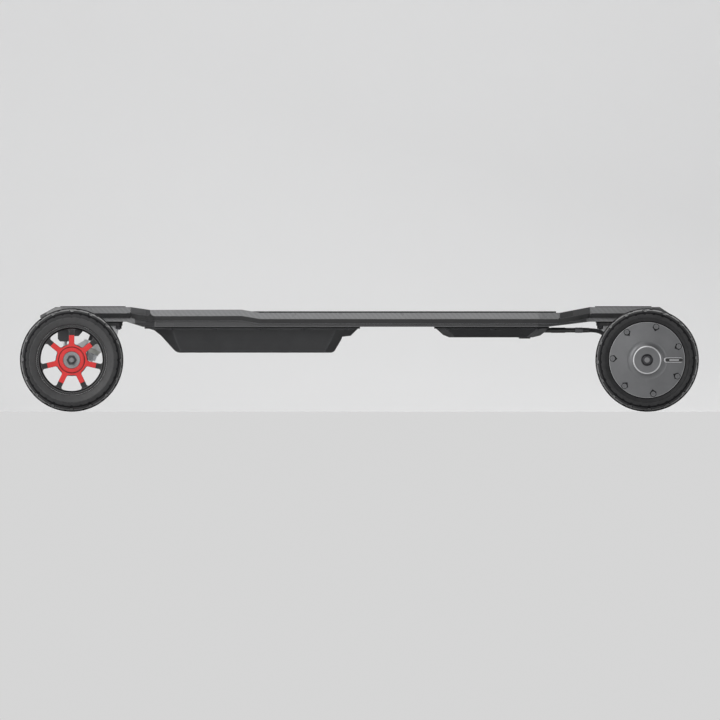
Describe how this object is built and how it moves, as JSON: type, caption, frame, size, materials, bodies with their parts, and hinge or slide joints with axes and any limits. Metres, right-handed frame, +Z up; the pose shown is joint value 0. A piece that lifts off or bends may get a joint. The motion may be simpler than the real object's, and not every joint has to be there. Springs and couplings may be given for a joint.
{
  "type": "electric skateboard",
  "caption": "Low electric skateboard with a dished composite deck, under-deck battery and controller cases, tilting trucks, treaded tyres and rear hub motors.",
  "frame": {"origin": "on the ground, midway between the two axles, on the centre line", "axes": "+X from the nose to the tail, +Y to the rider's right, +Z up"},
  "size_m": [1.081, 0.319, 0.1681],
  "materials": {
    "carbon_deck": "satin clear-coated carbon fibre",
    "grip": "coarse black grit",
    "case_shell": "satin moulded",
    "gasket": "matte foam",
    "cell_wrap": "shrink-wrapped",
    "circuit_board": "solder mask",
    "black_plastic": "satin",
    "dark_steel": "black oxide",
    "bright_steel": "ground",
    "black_alloy": "satin black",
    "silver_alloy": "bead-blasted",
    "pale_urethane": "smooth",
    "dark_urethane": "smooth",
    "red_alloy": "anodised red",
    "tread_rubber": "matte",
    "cover_alloy": "grey anodised",
    "badge": "blank plate",
    "magnet": "nickel plated",
    "stator_steel": "laminated",
    "copper": "enamelled wire",
    "lead_sleeve": "smooth"
  },
  "bodies": {
    "deck": {"deck_shell": "carbon_deck", "grip_tape": "grip", "battery_case": "case_shell", "controller_case": "case_shell", "case_gaskets": "gasket", "battery_cells": "cell_wrap", "battery_board": "circuit_board", "controller_board": "circuit_board", "charge_socket": "black_plastic", "case_screws": "dark_steel", "front_baseplate": "black_alloy", "rear_baseplate": "black_alloy", "riser_pads": "gasket", "deck_bolts": "dark_steel", "deck_bolt_nuts": "dark_steel", "kingpin_blocks": "silver_alloy", "pivot_cups": "black_plastic", "kingpins": "bright_steel", "kingpin_nuts": "dark_steel", "bushing_washers": "bright_steel", "front_upper_bushing": "dark_urethane", "front_lower_bushing": "pale_urethane", "rear_upper_bushing": "dark_urethane", "rear_lower_bushing": "pale_urethane", "left_motor_lead": "lead_sleeve", "right_motor_lead": "lead_sleeve", "motor_plugs": "black_plastic"},
    "button": {"power_button": "black_plastic"},
    "flap": {"charge_flap": "black_plastic"},
    "front_truck": {"front_hanger": "silver_alloy", "front_axle": "bright_steel", "front_axle_nuts": "dark_steel", "hub_washers": "bright_steel"},
    "rear_truck": {"rear_hanger": "silver_alloy", "rear_axle": "bright_steel", "rear_axle_nuts": "dark_steel", "motor_stators": "stator_steel", "motor_windings": "copper"},
    "front_left_wheel": {"front_left_tyre": "tread_rubber", "front_left_rim": "black_alloy", "front_left_spoke_star": "red_alloy", "front_left_bearings": "bright_steel"},
    "front_right_wheel": {"front_right_tyre": "tread_rubber", "front_right_rim": "black_alloy", "front_right_spoke_star": "red_alloy", "front_right_bearings": "bright_steel"},
    "rear_left_wheel": {"rear_left_tyre": "tread_rubber", "rear_left_motor_rotor": "black_alloy", "rear_left_motor_magnets": "magnet", "rear_left_motor_cover": "cover_alloy", "rear_left_cover_screws": "dark_steel", "rear_left_cover_badge": "badge", "rear_left_motor_bearings": "bright_steel"},
    "rear_right_wheel": {"rear_right_tyre": "tread_rubber", "rear_right_motor_rotor": "black_alloy", "rear_right_motor_magnets": "magnet", "rear_right_motor_cover": "cover_alloy", "rear_right_cover_screws": "dark_steel", "rear_right_cover_badge": "badge", "rear_right_motor_bearings": "bright_steel"}
  },
  "joints": [
    {"name": "front_truck_lean", "type": "hinge", "parent": "deck", "child": "front_truck", "pos_m": [-0.421, 0, 0.10468], "axis": [-0.9397, 0, 0.342], "range_deg": [-15, 15], "stiffness_Nm_per_rad": 80, "deforming": ["front_upper_bushing", "front_lower_bushing"]},
    {"name": "rear_truck_lean", "type": "hinge", "parent": "deck", "child": "rear_truck", "pos_m": [0.421, 0, 0.10468], "axis": [0.9397, 0, 0.342], "range_deg": [-15, 15], "stiffness_Nm_per_rad": 80, "deforming": ["rear_upper_bushing", "rear_lower_bushing", "left_motor_lead", "right_motor_lead"]},
    {"name": "front_left_wheel_spin", "type": "hinge", "parent": "front_truck", "child": "front_left_wheel", "pos_m": [-0.458, -0.125, 0.0825], "axis": [0, 1, 0], "continuous": true},
    {"name": "front_right_wheel_spin", "type": "hinge", "parent": "front_truck", "child": "front_right_wheel", "pos_m": [-0.458, 0.125, 0.0825], "axis": [0, 1, 0], "continuous": true},
    {"name": "rear_left_wheel_spin", "type": "hinge", "parent": "rear_truck", "child": "rear_left_wheel", "pos_m": [0.458, -0.125, 0.0825], "axis": [0, 1, 0], "continuous": true},
    {"name": "rear_right_wheel_spin", "type": "hinge", "parent": "rear_truck", "child": "rear_right_wheel", "pos_m": [0.458, 0.125, 0.0825], "axis": [0, 1, 0], "continuous": true},
    {"name": "power_button_press", "type": "slide", "parent": "deck", "child": "button", "axis": [0, 0, 1], "range_m": [0, 0.0012], "stiffness_N_per_m": 800, "springref_m": -0.0003},
    {"name": "charge_flap_open", "type": "hinge", "parent": "deck", "child": "flap", "pos_m": [-0.205, 0.1008, 0.1283], "axis": [1, 0, 0], "range_deg": [0, 95]}
  ]
}
